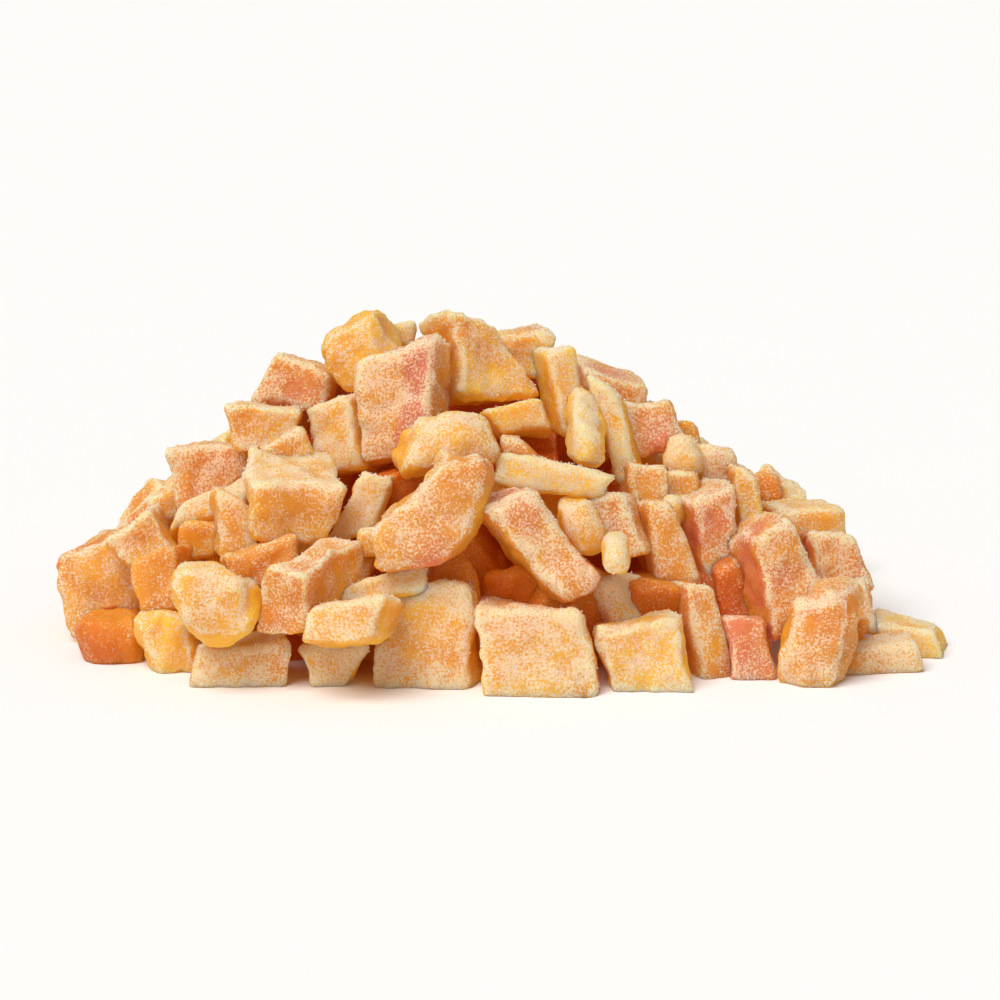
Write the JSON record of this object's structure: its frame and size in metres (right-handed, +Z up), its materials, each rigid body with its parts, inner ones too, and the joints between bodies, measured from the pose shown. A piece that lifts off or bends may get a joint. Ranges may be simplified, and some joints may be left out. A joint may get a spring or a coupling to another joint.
{
  "type": "heap of candied mango cubes",
  "caption": "Low ragged heap of sugar-dusted candied mango cut into cubes, slabs, wedges and curled strips, flat underneath, to lie on a table or in a dish.",
  "frame": {"origin": "on the flat underside, below the middle of the heap", "axes": "+Z up, +X to the right as seen from the front, the side shown in the picture, which faces -Y"},
  "size_m": [0.1085, 0.0937, 0.0402],
  "materials": {
    "candied_mango": "translucent yellow to orange-pink fruit flesh, frosted with fine white sugar"
  },
  "bodies": {
    "root": {"mango_heap": "candied_mango"}
  },
  "joints": []
}
